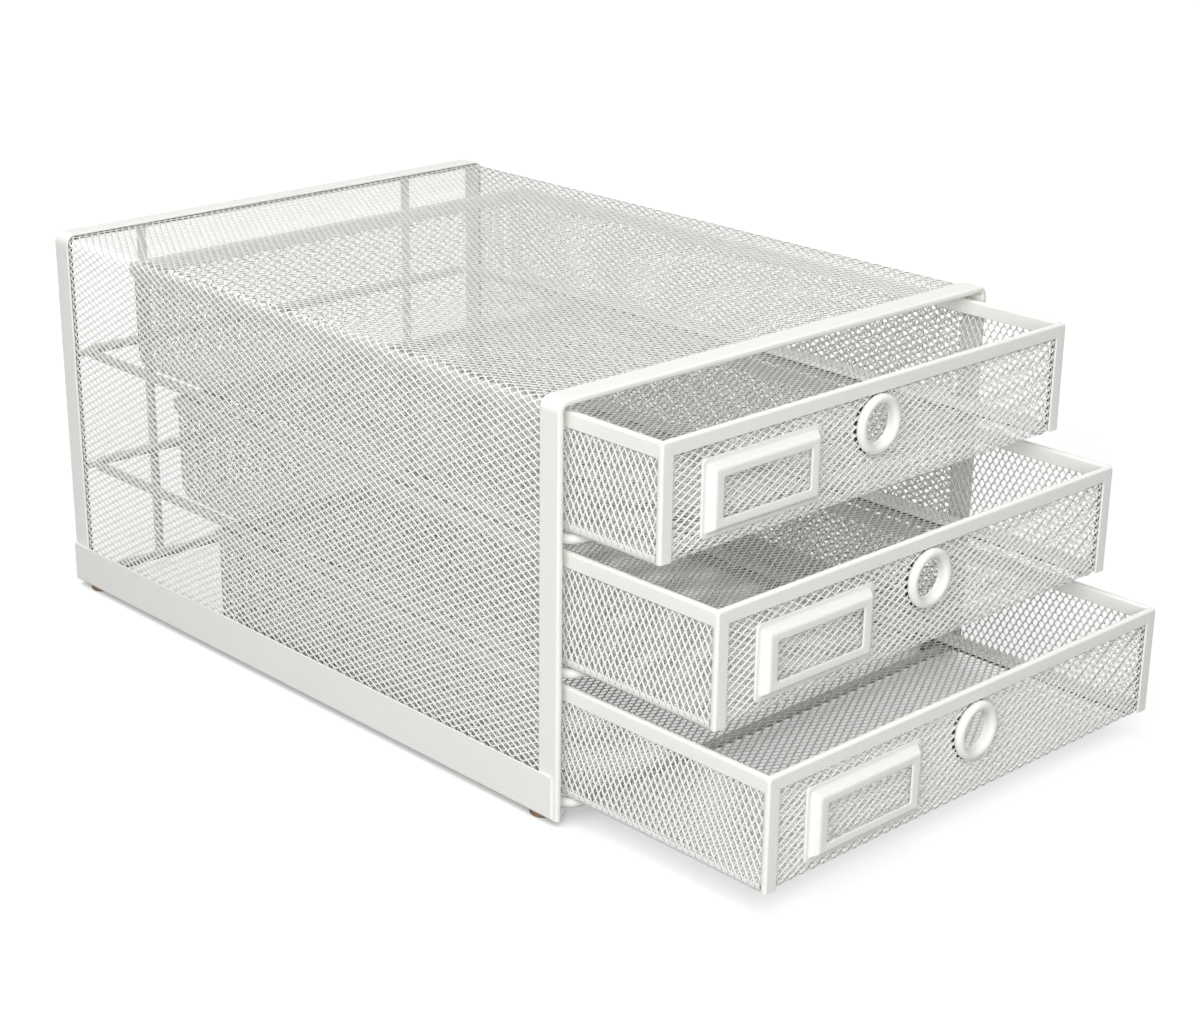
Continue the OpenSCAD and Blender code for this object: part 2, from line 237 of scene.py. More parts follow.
def rounded(outline, radii, steps=5):
    """A polygon with rounded corners: one radius per corner, 0 keeps it sharp."""
    outline = np.asarray(outline, float)
    found = []
    for i, (p, r) in enumerate(zip(outline, radii)):
        if r <= 0:
            found.append(p)
            continue
        to_last = outline[i - 1] - p
        to_next = outline[(i + 1) % len(outline)] - p
        to_last /= np.linalg.norm(to_last)
        to_next /= np.linalg.norm(to_next)
        half = math.acos(np.clip(to_last @ to_next, -1, 1)) / 2
        middle = p + (to_last + to_next) / np.linalg.norm(to_last + to_next) * r / math.sin(half)
        start = p + to_last * r / math.tan(half) - middle
        end = p + to_next * r / math.tan(half) - middle
        turn = math.atan2(start[0] * end[1] - start[1] * end[0], start @ end)
        for k in range(steps + 1):
            c, s = math.cos(turn * k / steps), math.sin(turn * k / steps)
            found.append(middle + [c * start[0] - s * start[1], s * start[0] + c * start[1]])
    return np.array(found)


def section_rings(profile, stations):
    """Places a profile of (p, q) at each station (origin, p axis, q axis)."""
    p, q = profile[:, :1], profile[:, 1:]
    return [np.asarray(o) + p * np.asarray(a, float) + q * np.asarray(b, float)
            for o, a, b in stations]


def round_stations(origin, axis):
    """Stations all round a circle in the XZ plane, for a profile of (radius, along the axis)."""
    return [(origin, (math.cos(a), 0, math.sin(a)), axis)
            for a in np.arange(ROUND_STEPS) * 2 * math.pi / ROUND_STEPS]


def bar(p0, p1, q0, q1):
    """Profile of a plain bar."""
    return np.array([(p0, q0), (p1, q0), (p1, q1), (p0, q1)])


def channel(height):
    """Strip folded over a mesh edge, as (inwards, along the sheet): closed at q = height."""
    return rounded(
        [(0, 0), (0, height), (STRIP, height), (STRIP, 0), (STRIP - SHEET, 0),
         (STRIP - SHEET, height - SHEET), (SHEET, height - SHEET), (SHEET, 0)],
        [TIP_R, EDGE_R, EDGE_R, TIP_R, TIP_R, INNER_R, INNER_R, TIP_R])


# ---- Expanded mesh ----

def fitted(size, pitch):
    """Half a cell, stretched a little so that a whole number of half cells fills the size."""
    count = round(size / (pitch / 2))
    return size / count, count


def net(low, count, half, place, form, keep=None, hole=None, part=None):
    """Diamond net over a rectangle of half cells, as a list of (points, quads, triangles, map).

    low is the corner of the sheet in (u, v), count and half the number and size of half cells.
    place turns arrays of u, v and height over the middle of the sheet into points. form gives,
    at (u, v), how high a hole's far side stands over its middle, because real expanded mesh has
    turned strands, how high the middle stands, and the strands' thickness. keep says which cells
    stay, hole is (u, v, radius), and part numbers the piece that a cell goes to.
    """
    low, half = np.array(low, float), np.array(half, float)
    # a cell's middle lies where the half cells' numbers add up to an even one
    i, j = np.meshgrid(np.arange(1, count[0]), np.arange(1, count[1]), indexing="ij")
    even = (i + j) % 2 == 0
    at = np.stack([i[even], j[even]], 1)
    if keep is not None:
        at = at[keep(*(low + at * half).T)]
    if hole is not None:
        at = at[np.hypot(*(low + at * half - hole[:2]).T) > hole[2]]
    centres = low + at * half
    cells = len(at)
    # corners of the cells, shared by neighbours
    stride = count[1] + 1
    ci, cj = at.T
    ring = np.stack([(ci + 1) * stride + cj, ci * stride + cj + 1,
                     (ci - 1) * stride + cj, ci * stride + cj - 1], 1)
    used, ring = np.unique(ring, return_inverse=True)
    ring = ring.reshape(-1, 4)
    nodes = low + np.stack([used // stride, used % stride], 1) * half
    n = len(nodes)
    # the opening: a blunt diamond
    pitch = 2 * half
    open_share = 1 - STRAND_W * np.hypot(*pitch) / (pitch[0] * pitch[1])
    a, b = half * open_share
    cut_u, cut_v = (TIP_CUT, SIDE_CUT) if pitch[0] > pitch[1] else (SIDE_CUT, TIP_CUT)
    shape = np.array([
        (a * (1 - cut_u), -b * cut_u), (a * (1 - cut_u), b * cut_u),
        (a * cut_v, b * (1 - cut_v)), (-a * cut_v, b * (1 - cut_v)),
        (-a * (1 - cut_u), b * cut_u), (-a * (1 - cut_u), -b * cut_u),
        (-a * cut_v, -b * (1 - cut_v)), (a * cut_v, -b * (1 - cut_v)),
    ])
    openings = (centres[:, None] + shape[None]).reshape(-1, 2)
    edge = 2 * n + np.arange(cells * 8).reshape(-1, 8)
    tilt, rise, _ = form(*centres.T)
    thick = form(*nodes.T)[2]
    uv = np.concatenate([nodes, nodes, openings])
    up = np.concatenate([thick / 2, -thick / 2,
                         (tilt[:, None] * shape[:, 1] / b + rise[:, None]).ravel()])
    if hole is not None:
        away = uv - np.array(hole[:2])
        far = np.hypot(*away.T)
        near = far < hole[2]
        uv[near] += away[near] * (hole[2] / np.maximum(far[near], 1e-6) - 1)[:, None]
    number = np.zeros(cells, int) if part is None else part(*centres.T)
    quads, tris = [], []
    for k in range(4):
        after = (k + 1) % 4
        h = edge[:, [(2 * k + c) % 8 for c in range(3)]]
        front, back = ring, ring + n
        tris.append(np.stack([front[:, k], h[:, 1], h[:, 0]], 1))
        tris.append(np.stack([back[:, k], h[:, 0], h[:, 1]], 1))
        quads.append(np.stack([front[:, k], front[:, after], h[:, 2], h[:, 1]], 1))
        quads.append(np.stack([back[:, k], h[:, 1], h[:, 2], back[:, after]], 1))
    # the cut edge of the sheet
    pairs = np.concatenate([ring[:, [k, (k + 1) % 4]] for k in range(4)])
    _, first, times = np.unique(np.sort(pairs, 1) @ [n, 1], return_index=True,
                                return_counts=True)
    first = first[times == 1]
    rim = pairs[first]
    quads.append(np.stack([rim[:, 1], rim[:, 0], rim[:, 0] + n, rim[:, 1] + n], 1))
    quad_part = np.concatenate([np.tile(number, 8), number[first % cells]])
    quads, tris, tri_part = np.concatenate(quads), np.concatenate(tris), np.tile(number, 8)
    points = place(uv[:, 0], uv[:, 1], up)
    pieces = []
    for k in range(number.max() + 1):
        q, t = quads[quad_part == k], tris[tri_part == k]
        mine, new = np.unique(np.concatenate([q.ravel(), t.ravel()]), return_inverse=True)
        flat = uv[mine]
        span = flat.max(0) - flat.min(0)
        pieces.append((points[mine], new[:q.size].reshape(q.shape),
                       new[q.size:].reshape(t.shape), (flat - flat.min(0)) / span))
    return pieces


def net_piece(name, made, body, material, replaced):
    """A piece of net with its own map, so that no two of its faces share a place on it."""
    points, quads, tris, spots = made
    piece = mesh_object(name, points, [quads, tris], body, material, replaced)
    layer = piece.data.uv_layers.new(name="OFBake")
    corner = np.empty(len(piece.data.loops), np.int32)
    piece.data.loops.foreach_get("vertex_index", corner)
    layer.data.foreach_set("uv", (0.01 + 0.98 * spots)[corner].astype(np.float32).ravel())


# ---- Materials ----

NOISE_RANGE = (0.3, 0.7)    # the share of 0 to 1 that a noise texture really fills


def new_material(name, color, roughness):
    material = bpy.data.materials.new(name)
    material.use_nodes = True
    nodes, links = material.node_tree.nodes, material.node_tree.links
    shader = nodes["Principled BSDF"]
    shader.inputs["Base Color"].default_value = (*color, 1)
    shader.inputs["Roughness"].default_value = roughness
    where = nodes.new("ShaderNodeTexCoord").outputs["Object"]
    return material, nodes, links, shader, where


def noise(nodes, links, where, scale, detail):
    node = nodes.new("ShaderNodeTexNoise")
    node.inputs["Scale"].default_value = scale
    node.inputs["Detail"].default_value = detail
    links.new(where, node.inputs["Vector"])
    return node.outputs["Fac"]


def mapped(nodes, links, value, source, target):
    """The value, with what lies in the source range spread over the target range."""
    node = nodes.new("ShaderNodeMapRange")
    node.inputs["From Min"].default_value, node.inputs["From Max"].default_value = source
    node.inputs["To Min"].default_value, node.inputs["To Max"].default_value = target
    links.new(value, node.inputs["Value"])
    return node.outputs["Result"]


def color_by(nodes, links, shader, value, *colors):
    """Base colour that goes from the first colour to the second with a noise value."""
    ramp = nodes.new("ShaderNodeValToRGB")
    for element, position, color in zip(ramp.color_ramp.elements, NOISE_RANGE, colors):
        element.position = position
        element.color = (*color, 1)
    links.new(value, ramp.inputs["Fac"])
    links.new(ramp.outputs["Color"], shader.inputs["Base Color"])


def rough_by(nodes, links, shader, value, low, high):
    links.new(mapped(nodes, links, value, NOISE_RANGE, (low, high)), shader.inputs["Roughness"])


def bump_by(nodes, links, shader, value, strength, distance):
    bump = nodes.new("ShaderNodeBump")
    bump.inputs["Strength"].default_value = strength
    bump.inputs["Distance"].default_value = distance
    links.new(value, bump.inputs["Height"])
    links.new(bump.outputs["Normal"], shader.inputs["Normal"])


def powder_coat():
    """Off-white powder coat: satin, with fine orange peel and faint warm and cool patches."""
    material, nodes, links, shader, where = new_material("powder_coat", (0.86, 0.865, 0.82), 0.42)
    patches = noise(nodes, links, where, 22, 2)
    color_by(nodes, links, shader, patches, (0.85, 0.862, 0.817), (0.87, 0.865, 0.832))
    peel = noise(nodes, links, where, 900, 2)
    rough_by(nodes, links, shader, noise(nodes, links, where, 140, 3), 0.36, 0.5)
    bump_by(nodes, links, shader, peel, 0.12, 0.0001)
    return material


def mesh_coat():
    """The same coat on the thin strands, where it lies a little uneven."""
    material, nodes, links, shader, where = new_material("mesh_coat", (0.88, 0.89, 0.86), 0.4)
    patches = noise(nodes, links, where, 30, 2)
    color_by(nodes, links, shader, patches, (0.87, 0.885, 0.85), (0.89, 0.89, 0.865))
    return material


def foot_rubber():
    """Tan rubber with a fine grain."""
    material, nodes, links, shader, where = new_material("foot_rubber", (0.20, 0.13, 0.08), 0.7)
    grain = noise(nodes, links, where, 700, 4)
    color_by(nodes, links, shader, grain, (0.17, 0.11, 0.07), (0.24, 0.17, 0.11))
    bump_by(nodes, links, shader, grain, 0.4, 0.0002)
    return material


def painted_crease_shade():
    """Painted shade: a dark, a little blotchy colour for the creases, where shade falls behind the
    mesh.
    """
    material, nodes, links, shader, where = new_material("painted_crease_shade", (0.02, 0.025, 0.024), 0.6)
    blotches = noise(nodes, links, where, 260, 3)
    color_by(nodes, links, shader, blotches, (0.012, 0.016, 0.015), (0.035, 0.042, 0.04))
    rough_by(nodes, links, shader, blotches, 0.5, 0.7)
    bump_by(nodes, links, shader, blotches, 0.2, 0.0001)
    return material


COAT, MESH, RUBBER, CREASE_SHADE = powder_coat(), mesh_coat(), foot_rubber(), painted_crease_shade()


# ---- Casing ----

class Casing:
    """Outline of the casing, measured on its rims."""
    low, high = box_mm("front_rim")
    half_w = high[0]
    bottom, top = low[2], high[2]
    front = low[1]
    rear = box_mm("rear_rim")[1][1]


def arch_stations(edge_y, low, along):
    """Stations round the casing's outline, from its lower left over the top to its lower right."""
    w, r, top = Casing.half_w, BEND_R, Casing.top
    foot = Casing.bottom + low
    straight_end = top - r - 0.6        # a little below the bend, so that the side stays flat
    found = [((-w, foot), (1, 0)), ((-w, straight_end), (1, 0))]
    for side in (-1, 1):
        for k in range(BEND_STEPS + 1):
            t = math.pi / 2 * (k / BEND_STEPS if side < 0 else 1 - k / BEND_STEPS)
            out = (side * math.cos(t), math.sin(t))
            found.append(((side * (w - r) + r * out[0], top - r + r * out[1]),
                          (-out[0], -out[1])))
    found += [((w, straight_end), (-1, 0)), ((w, foot), (-1, 0))]
    return [((x, edge_y, z), (nx, 0, nz), (0, along, 0)) for (x, z), (nx, nz) in found]


def rim_piece(name, edge_y, inwards, low):
    """Strip folded over one end of the casing's mesh."""
    profile = channel(RIM_LAP) - [0, RIM_LAP]
    shape = Shape()
    shape.skin(section_rings(profile, arch_stations(edge_y, low, -inwards)))
    shape.piece(name, "casing", "powder_coat", COAT, [name.replace("_strip", "")])


def rear_crease_shade():
    """Painted shade: a dark sheet in the crease behind the mesh, along the rear strip."""
    inner = STRIP - SHEET
    profile = bar(inner + CREASE_SHADE_SPAN[0], inner + CREASE_SHADE_SPAN[1],
                  RIM_LAP - CREASE_SHADE_UNDER, RIM_LAP + CREASE_SHADE_EDGE)
    shape = Shape()
    shape.skin(section_rings(profile, arch_stations(Casing.rear, LEDGE_T, -1)))
    shape.piece("rear_painted_crease_shade", "casing", "coated_mesh", CREASE_SHADE, ["casing_mesh"], THIN)


def casing_nets():
    """One net, bent over the top, and shared out between a left, a top and a right piece."""
    inset = SHEET + MESH_T / 2
    w, r = Casing.half_w - inset, BEND_R - inset
    base = Casing.bottom + LEDGE_T
    up = Casing.top - inset - r - base
    arc = r * math.pi / 2
    marks = np.cumsum([0, up, arc, 2 * (w - r), arc, up])
    y0, y1 = Casing.front + SHEET, Casing.rear - SHEET

    def place(u, v, h):
        k = np.clip(np.searchsorted(marks, v, side="right") - 1, 0, 4)
        d = v - marks[k]
        turn = np.choose(k, [0 * d, d / r, 0 * d + math.pi / 2, math.pi / 2 + d / r,
                             0 * d + math.pi])
        across = (w - r) + 0 * d
        x = np.choose(k, [-across - r, -across - r * np.cos(turn), -across + d,
                          across - r * np.cos(turn), across + r])
        z = base + up + np.choose(k, [d - up, r * np.sin(turn), 0 * d + r, r * np.sin(turn), -d])
        # the front of the net looks into the casing
        return np.stack([x + h * np.cos(turn), y0 + u, z - h * np.sin(turn)], 1)

    def form(u, v):
        return tuple(np.full(len(u), x) for x in (-STRAND_TURN, 0.0, STRAND_T))

    def part(u, v):
        return (v > marks[2] + TOP_REACH).astype(int) + (v > marks[3] - TOP_REACH)

    half_u, count_u = fitted(y1 - y0, CELL_LONG)
    half_v, count_v = fitted(marks[-1], CELL_SHORT)
    made = net((0, 0), (count_u, count_v), (half_u, half_v), place, form, part=part)
    for name, one in zip(("mesh_left", "mesh_top", "mesh_right"), made):
        net_piece(name, one, "casing", MESH, ["casing_mesh"])


def side_band(side, name):
    """Sheet along the foot of a side, folded under it as a ledge with rounded ends."""
    low, high = box_mm(name)
    outer = max(abs(low[0]), abs(high[0]))
    y0, y1 = low[1], high[1]
    z0 = low[2]
    end_r = LEDGE_W / 2
    steps = 8

    def ring(y, reach):
        profile = rounded(
            [(0, BAND_H), (0, 0), (reach, 0), (reach, LEDGE_T), (BAND_T, LEDGE_T),
             (BAND_T, BAND_H)],
            [HEM_R, BAND_FOLD_R, LEDGE_R, LEDGE_R, 0, HEM_R])
        return np.stack([side * (outer - profile[:, 0]), np.full(len(profile), y),
                         z0 + profile[:, 1]], 1)

    ends = []
    for k in range(steps + 1):
        t = math.pi / 2 * k / steps
        ends.append((end_r * (1 - math.cos(t)), LEDGE_W - end_r * (1 - math.sin(t))))
    stations = [(y0 + d, w) for d, w in ends] + [(y1 - d, w) for d, w in reversed(ends)]
    shape = Shape()
    shape.skin([ring(y, w) for y, w in stations])
    shape.piece(f"band_{name.split('_')[-1]}", "casing", "powder_coat", COAT, [name])


# ---- Drawers ----

def drawer_strip(shape, start, along, length, inwards, up, profile, mitred):
    """Straight strip from start. mitred says which of its two ends is cut at 45 degrees."""
    start, along, inwards, up = (np.asarray(x, float) for x in (start, along, inwards, up))
    p, q = profile[:, :1], profile[:, 1:]
    rings = []
    for end, turn in ((0, 1), (1, -1)):
        cut = (p + MITRE_GAP) * mitred[end] * turn
        rings.append(start + along * (end * length + cut) + inwards * p + up * q)
    shape.skin(rings)


def drawer_rim(name, body, left, right, front, back, top):
    """Strips folded over the left, right and rear edges."""
    profile = channel(DRAWER_RIM_H) - [0, DRAWER_RIM_H]
    shape = Shape()
    # the sides start inside the rounded back edge of the front strips
    start = front + STRIP - EDGE_R
    for x, side in ((left, 1), (right, -1)):
        drawer_strip(shape, (x, start, top), (0, 1, 0), back - start, (side, 0, 0), (0, 0, 1),
                     profile, (0, 1))
    drawer_strip(shape, (left, back, top), (1, 0, 0), right - left, (0, -1, 0), (0, 0, 1),
                 profile, (1, 1))
    shape.piece(f"{name}_edge_strip", body, "powder_coat", COAT, [f"{name}_rim"])


def front_strips(name, body, left, right, front, bottom, top):
    """Mitred strips round a drawer's front, closed on their outer edges."""
    section = channel(FRONT_STRIP_W) * [1, -1] + [0, FRONT_STRIP_W]
    depth, inwards = section.T
    r = FRONT_CORNER_R

    def corner_rings(at, along, across):
        """End of a strip at a rounded corner, from its straight part to the mitre."""
        rings = []
        for t in np.linspace(0, math.pi / 4, CORNER_POINTS):
            off = np.maximum(r - inwards, 0)
            b = np.where(inwards < r, r - off * math.cos(t), inwards)
            a = np.maximum(np.where(inwards < r, r - off * math.sin(t), inwards), b + MITRE_GAP)
            ring = np.array(at) + a[:, None] * along + b[:, None] * across
            rings.append(ring + depth[:, None] * [0, 1, 0])
        return rings

    shape = Shape()
    across_top, down = np.array([1, 0, 0]), np.array([0, 0, -1])
    shape.skin(corner_rings((left, front, top), across_top, down)[::-1]
               + corner_rings((right, front, top), -across_top, down))
    for x, turn in ((left, 1), (right, -1)):
        foot = np.array([x, front, bottom]) + inwards[:, None] * [turn, 0, 0]
        shape.skin(corner_rings((x, front, top), down, turn * across_top)[::-1]
                   + [foot + depth[:, None] * [0, 1, 0]])
    shape.piece(f"{name}_front_strips", body, "powder_coat", COAT, [f"{name}_front_frame"])


def bent(s, half, r):
    """Distance out, height and angle of a sheet at s from its middle, bent up by a radius r."""
    flat, arc = half - r, r * math.pi / 2
    side, s = np.sign(s), np.abs(s)
    turn = np.clip((s - flat) / r, 0, math.pi / 2)
    out = np.where(s < flat, s, flat + r * np.sin(turn))
    return side * out, r * (1 - np.cos(turn)) + np.maximum(s - flat - arc, 0), side, turn


def basket(name, body, left, right, front, back, bottom, top, shade_sheets):
    """One sheet of mesh, bent up on four sides: a floor piece and a piece of the four walls."""
    inset = SHEET + MESH_T / 2
    half_x, half_y = (right - left) / 2 - inset, (back - front) / 2 - inset
    mid_x, mid_y = (left + right) / 2, (front + back) / 2
    base = bottom + MESH_T / 2
    limit = top - SHEET - BASKET_GAP - base

    def place(u, v, h):
        x, up_x, side_x, turn_x = bent(u, half_x, SIDE_FOLD_R)
        y, up_y, side_y, turn_y = bent(v, half_y, END_FOLD_R)
        out = np.stack([side_x * np.sin(turn_x), side_y * np.sin(turn_y),
                        -np.cos(turn_x) * np.cos(turn_y)], 1)
        out /= np.linalg.norm(out, axis=1)[:, None]
        middle = np.stack([mid_x + x, mid_y + y, base + up_x + up_y], 1)
        # the front of the net looks into the basket
        return middle - h[:, None] * out

    span_x = half_x + SIDE_FOLD_R * (math.pi / 2 - 1)
    span_y = half_y + END_FOLD_R * (math.pi / 2 - 1)
    half_u, count_u = fitted(2 * span_x, CELL_LONG)
    half_v, count_v = fitted(2 * span_y, CELL_SHORT)
    flap_u, flap_v = int(limit / half_u) + 1, int(limit / half_v) + 1
    ring_v = -(span_y + top - RING_DROP - base - END_FOLD_R)

    def keep(u, v):
        u, v = abs(u), abs(v)
        high = bent(u, half_x, SIDE_FOLD_R)[1] + bent(v, half_y, END_FOLD_R)[1]
        inside = (u + half_u < span_x + 0.01) | (v + half_v < span_y + 0.01)
        cell_up = np.where(u > span_x, half_u, half_v)
        return inside & (high + cell_up < limit)

    def form(u, v):
        on_floor = (abs(u) < span_x) & (abs(v) < span_y)
        return (np.where(on_floor, FLOOR_TURN, STRAND_TURN), np.where(on_floor, FLOOR_RISE, 0),
                np.where(on_floor, FLOOR_T, STRAND_T))

    def part(u, v):
        return (abs(u) > half_x - SIDE_FOLD_R) | (abs(v) > half_y - END_FOLD_R)

    made = net((-span_x - flap_u * half_u, -span_y - flap_v * half_v),
               (count_u + 2 * flap_u, count_v + 2 * flap_v), (half_u, half_v), place, form, keep,
               hole=(0, ring_v, HOLE_D / 2 + HOLE_GAP), part=part)
    for part_name, one in zip(("floor_mesh", "wall_mesh"), made):
        net_piece(f"{name}_{part_name}", one, body, MESH, [f"{name}_basket"])

    # along the side folds: a closed seam, and a row of holes with a dark sheet of painted shade
    # under them
    row = span_x - 2 * half_u
    seam_end = half_x + SIDE_FOLD_R * (math.pi / 2 - 2) + SEAM_H
    v_end = half_y - 0.6 * END_FOLD_R       # a little into the bends at the front and back
    stations = np.concatenate([np.linspace(-v_end, -half_y + END_FOLD_R, 4),
                               np.linspace(half_y - END_FOLD_R, v_end, 4)])

    def strip_along_fold(shape, side, u0, u1, h0, h1, steps):
        across = np.linspace(u0, u1, steps)
        u = side * np.concatenate([across, across[::-1]])
        h = np.concatenate([np.full(steps, h0), np.full(steps, h1)])
        shape.skin([place(u, np.full(len(u), v), h) for v in stations])

    seam = Shape()
    for side in (-1, 1):
        strip_along_fold(seam, side, row + CREASE_SHADE_W / 2 + SEAM_GAP, seam_end,
                         -SEAM_T / 2, SEAM_T / 2, 10)
        strip_along_fold(shade_sheets, side, row - CREASE_SHADE_W / 2, row + CREASE_SHADE_W / 2, CREASE_SHADE_LOW, CREASE_SHADE_HIGH, 2)
    seam.piece(f"{name}_fold_seams", body, "coated_mesh", MESH, [f"{name}_basket"], THIN)


def rounded_ring(half_w, half_h, r, steps=8):
    """Points of a rounded rectangle, always the same number."""
    found = []
    for k, (sx, sy) in enumerate([(1, 1), (-1, 1), (-1, -1), (1, -1)]):
        for i in range(steps + 1):
            t = math.pi / 2 * (k + i / steps)
            found.append((sx * (half_w - r) + r * math.cos(t),
                          sy * (half_h - r) + r * math.sin(t)))
    return np.array(found)


def label_holder(name, body, left, front, top):
    """Pressed frame: a flange, a slope to a rounded ridge, then a flat face round the window."""
    cx = left + HOLDER_LEFT + HOLDER_W / 2
    cz = top - HOLDER_DROP - HOLDER_H / 2
    y = front + SHEET
    w, h = HOLDER_W / 2, HOLDER_H / 2
    p, f, s, t, r = HOLDER_PROUD, HOLDER_FLANGE, HOLDER_SLOPE, HOLDER_T, HOLDER_R
    # (inset from the outer edge, height above the mesh, corner radius)
    levels = [
        (0, 0, r), (0, 0.45, r), (0.12, 0.75, r), (0.35, 0.9, r - 0.2), (f - 0.5, 0.9, 1.4),
        (f - 0.1, 1.02, 1.3), (f + 0.3, 1.4, 1.2), (f + s * 0.5, p * 0.62, 1.1),
        (f + s * 0.8, p * 0.86, 1.0), (f + s * 1.05, p * 0.965, 0.9), (f + s * 1.35, p, 0.8),
        (f + s * 1.7, p - 0.02, 0.8),
    ]
    face = p - 0.12
    rings = [(w - d, h - d, e, q) for d, q, e in levels]
    ww, wh, wr = w - HOLDER_SIDE, h - HOLDER_RAIL, 1.0
    rings += [(ww + 0.5, wh + 0.5, wr + 0.4, face), (ww + 0.15, wh + 0.15, wr, face - 0.1),
              (ww, wh, wr, face - 0.35), (ww, wh, wr, p - t + 0.1),
              (ww + 0.15, wh + 0.15, wr, p - t)]
    back_levels = [(f + s * 1.5, p - t, 0.8), (f + s * 1.1, p * 0.93 - t, 0.9), (f + t, 0, 1.0)]
    rings += [(w - d, h - d, e, q) for d, q, e in back_levels]
    sections = []
    for half_w, half_h, radius, height in rings:
        ring = rounded_ring(half_w, half_h, radius)
        sections.append(np.stack([cx + ring[:, 0], np.full(len(ring), y - height),
                                  cz + ring[:, 1]], 1))
    shape = Shape()
    shape.skin(sections, loop=True)
    shape.piece(f"{name}_label_frame", body, "powder_coat", COAT, [f"{name}_label_holder"],
                PRESSED)


def finger_ring(name, body, front, top):
    """Rolled ring round the finger hole: a soft bead, a sleeve and a flange behind the mesh."""
    bead = (RING_D - HOLE_D) / 2
    r = bead / 2
    inner = HOLE_D / 2
    low = -MESH_T - RING_WALL
    flange = bead * 0.75
    arc = [(inner + r + r * math.cos(t), RING_PROUD - r + r * math.sin(t))
           for t in np.linspace(-0.5, math.pi, 17)]
    arc = [(p, q) for p, q in arc if q > 0.02]
    edge = arc[0][0]
    # (radius, height above the mesh), outwards and round from the bead's foot
    profile = np.array(
        [(edge - 0.15, 0.0)] + arc
        + [(inner, low + 0.5), (inner + 0.15, low + 0.12), (inner + 0.5, low),
           (inner + flange - 0.3, low), (inner + flange, low + 0.3), (inner + flange, -MESH_T),
           (inner + RING_WALL, -MESH_T), (inner + RING_WALL, 0.0)])
    stations = round_stations((0, front + SHEET, top - RING_DROP), (0, -1, 0))
    shape = Shape()
    shape.skin(section_rings(profile, stations), loop=True)
    shape.piece(f"{name}_finger_bead", body, "powder_coat", COAT, [f"{name}_finger_ring"],
                PRESSED)


def crease_shade_edges(shade_sheets, left, right, front, bottom, top):
    """Painted shade: dark sheets in the crease behind the mesh, along the front strips and round
    the ring.
    """
    y0, y1 = (front + STRIP - SHEET + y for y in CREASE_SHADE_SPAN)
    outer, inner = FRONT_STRIP_W - CREASE_SHADE_UNDER, FRONT_STRIP_W + CREASE_SHADE_EDGE
    for x, turn in ((left, 1), (right, -1)):
        shade_sheets.skin([[(x + turn * a, y, z) for a, y in bar(outer, inner, y0, y1)]
                   for z in (bottom + END_FOLD_R, top - FRONT_STRIP_W)])
    shade_sheets.skin([[(x, y, z) for y, z in bar(y0, y1, top - inner, top - outer)]
               for x in (left + FRONT_STRIP_W, right - FRONT_STRIP_W)])
    profile = bar(RING_D / 2 - RING_UNDER, RING_D / 2 + CREASE_SHADE_RING, 0, y1 - y0)
    stations = round_stations((0, y0, top - RING_DROP), (0, 1, 0))
    shade_sheets.skin(section_rings(profile, stations), loop=True)


def drawer(name):
    """All pieces of one drawer, placed by its CAD nodes."""
    body = f"{name}_drawer"
    low, high = box_mm(f"{name}_front_frame")
    back = box_mm(f"{name}_rim")[1][1]
    bottom = box_mm(f"{name}_basket")[0][2]
    left, right, front, top = low[0], high[0], low[1], high[2]
    drawer_rim(name, body, left, right, front, back, top)
    front_strips(name, body, left, right, front, low[2], top)
    # dark sheets that paint the shade in the creases behind the mesh
    shade_sheets = Shape()
    basket(name, body, left, right, front, back, bottom, top, shade_sheets)
    crease_shade_edges(shade_sheets, left, right, front, bottom, top)
    shade_sheets.piece(f"{name}_painted_crease_shades", body, "coated_mesh", CREASE_SHADE, [f"{name}_basket"], THIN)
    label_holder(name, body, left, front, top)
    finger_ring(name, body, front, top)


# ---- Pieces ----

rim_piece("front_rim_strip", Casing.front, 1, 0.0)
rim_piece("rear_rim_strip", Casing.rear, -1, LEDGE_T)
rear_crease_shade()
casing_nets()
side_band(-1, "side_band_left")
side_band(1, "side_band_right")
for drawer_name in DRAWERS:
    drawer(drawer_name)

for node_name, node in frame["nodes"].items():
    if node.hide_render:
        continue
    node.data.materials.clear()
    node.data.materials.append(RUBBER if node_name.startswith("foot_") else COAT)


# ---- Stage ----

GROUND_HALF = 6.0
GROUND_COLOR = (0.35, 0.35, 0.35)
GROUND_GLOW = (0.72, 1.0)           # glow near the object and far away, seen by the camera only
FADE_RANGE = (0.45, 0.9)            # distances between which it changes
SHADE_REACH = 0.05                  # how near the object the ground gets painted shade
SHADE_RANGE = (0.15, 0.58)          # open share of the surroundings, from full to no painted shade
SHADE_GLOW = (0.42, 1.0)            # share of the glow that is left at either end
WORLD_LIGHT = 0.21                  # strength of the even light from all sides

# name, place, target, size, power
LAMPS = (
    ("fill", (-1.5, -1.3, 1.0), (0, 0, 0.08), 1.9, 48),
    ("top", (-0.2, 0.1, 2.2), (0, 0, 0.1), 1.5, 24),
)


def combined(nodes, links, operation, one, other):
    node = nodes.new("ShaderNodeMath")
    node.operation = operation
    links.new(one, node.inputs[0])
    links.new(other, node.inputs[1])
    return node.outputs[0]


